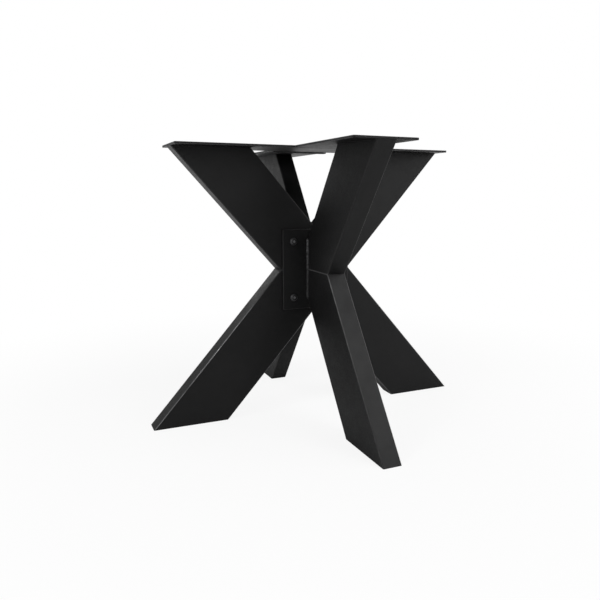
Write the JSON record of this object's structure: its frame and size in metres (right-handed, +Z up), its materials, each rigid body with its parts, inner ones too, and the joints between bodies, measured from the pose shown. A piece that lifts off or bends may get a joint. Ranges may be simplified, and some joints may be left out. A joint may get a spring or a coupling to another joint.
{
  "type": "table base",
  "caption": "Crossed table base of rectangular steel tube: an X-shaped frame, half frames bolted to it, and a flat cross of strips for the top.",
  "frame": {"origin": "on the floor, under the crossing of the frames", "axes": "+Z up; the X-shaped main frame lies along X; the half frames point along -Y (front) and +Y (back)"},
  "size_m": [0.92, 0.92, 0.72],
  "materials": {
    "black_coat": "matt black powder coat with a fine texture",
    "bolt_steel": "blackened steel",
    "sleeve_steel": "plain turned steel"
  },
  "bodies": {
    "root": {"back_arm": "black_coat", "back_bolts": "bolt_steel", "back_flange": "black_coat", "back_leg": "black_coat", "back_top_strip": "black_coat", "back_weld_beads": "black_coat", "foot_plate_back": "black_coat", "foot_plate_front": "black_coat", "foot_plate_left": "black_coat", "foot_plate_right": "black_coat", "front_arm": "black_coat", "front_bolts": "bolt_steel", "front_flange": "black_coat", "front_leg": "black_coat", "front_top_strip": "black_coat", "front_weld_beads": "black_coat", "main_arm_left": "black_coat", "main_arm_right": "black_coat", "main_leg_left": "black_coat", "main_leg_right": "black_coat", "main_top_strip": "black_coat", "threaded_sleeves": "sleeve_steel"}
  },
  "joints": []
}
